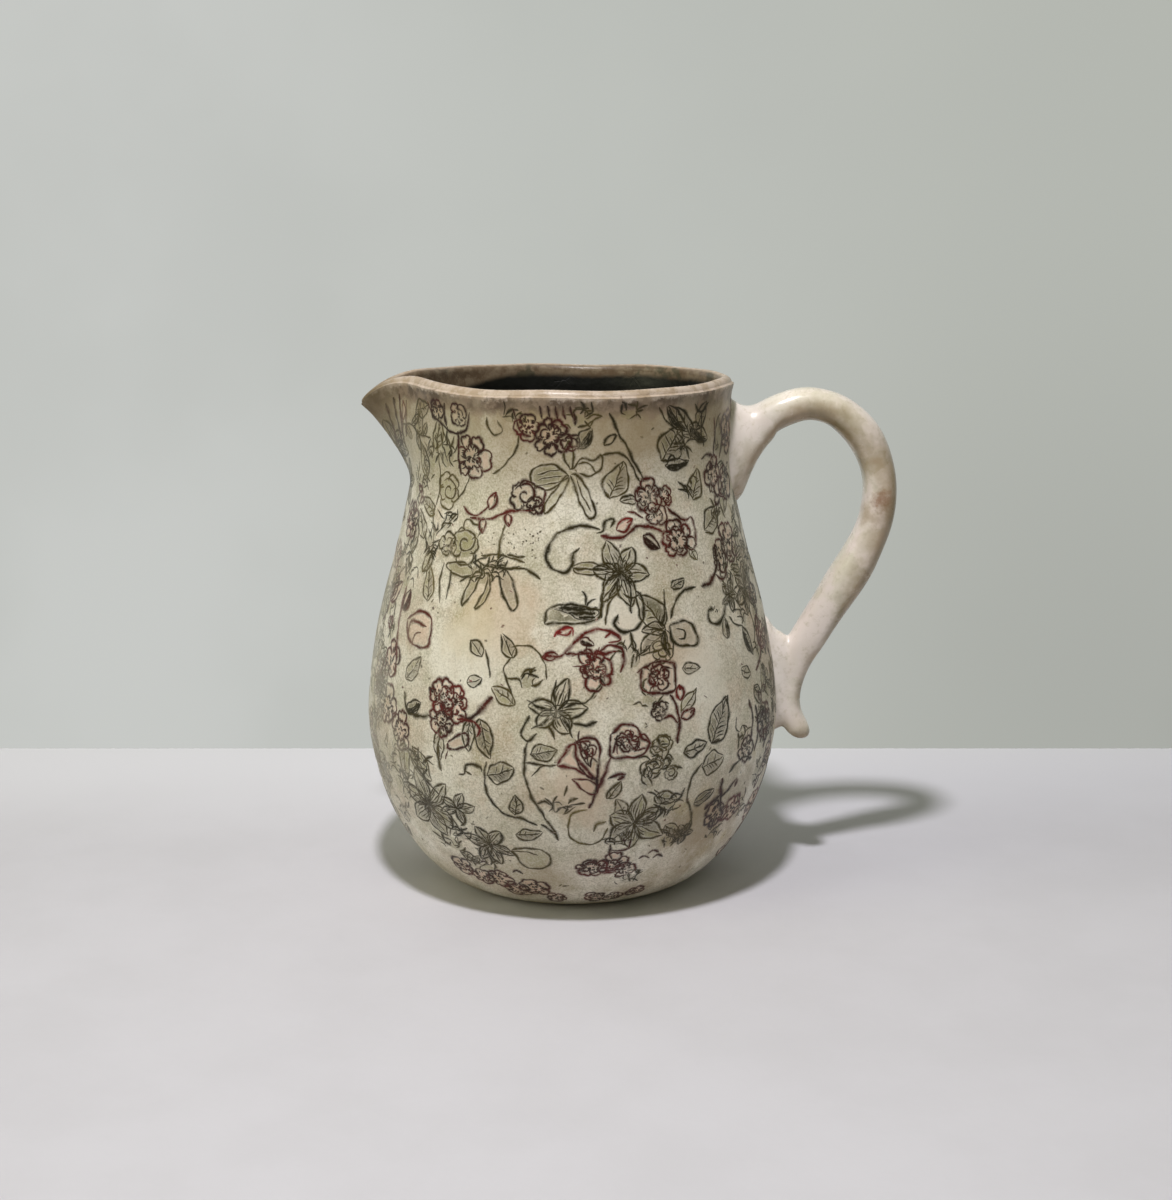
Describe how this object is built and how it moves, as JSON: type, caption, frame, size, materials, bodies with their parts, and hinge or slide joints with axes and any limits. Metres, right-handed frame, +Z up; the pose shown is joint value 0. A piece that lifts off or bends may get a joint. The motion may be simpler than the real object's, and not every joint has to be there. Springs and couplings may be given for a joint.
{
  "type": "ceramic pitcher",
  "caption": "Round-bellied ceramic jug with a straight neck, rolled lip, small pinched spout and a pulled strap handle, for holding and pouring liquids or for flowers.",
  "frame": {"origin": "on the vessel's axis of revolution, at the centre of the flat underside", "axes": "+Z up along the vessel's axis, spout towards -X, handle towards +X"},
  "size_m": [0.1955, 0.152, 0.187],
  "materials": {
    "biscuit_clay": "unglazed, matt and slightly gritty",
    "printed_glaze": "satin cream glaze, crackled and stained, with a printed floral pattern in red and olive grey",
    "worn_rim": "taupe brown band, worn to pale pinkish clay along the crest",
    "dark_lining": "near-black glossy glaze",
    "cream_glaze": "glossy off-white glaze with tan and olive stains"
  },
  "bodies": {
    "root": {"base_slab": "biscuit_clay", "vessel_wall": "printed_glaze", "rim_lip": "worn_rim", "pouring_spout": "printed_glaze", "interior_glaze": "dark_lining", "handle_strap": "cream_glaze", "upper_handle_joint": "cream_glaze", "lower_handle_joint": "cream_glaze"}
  },
  "joints": []
}
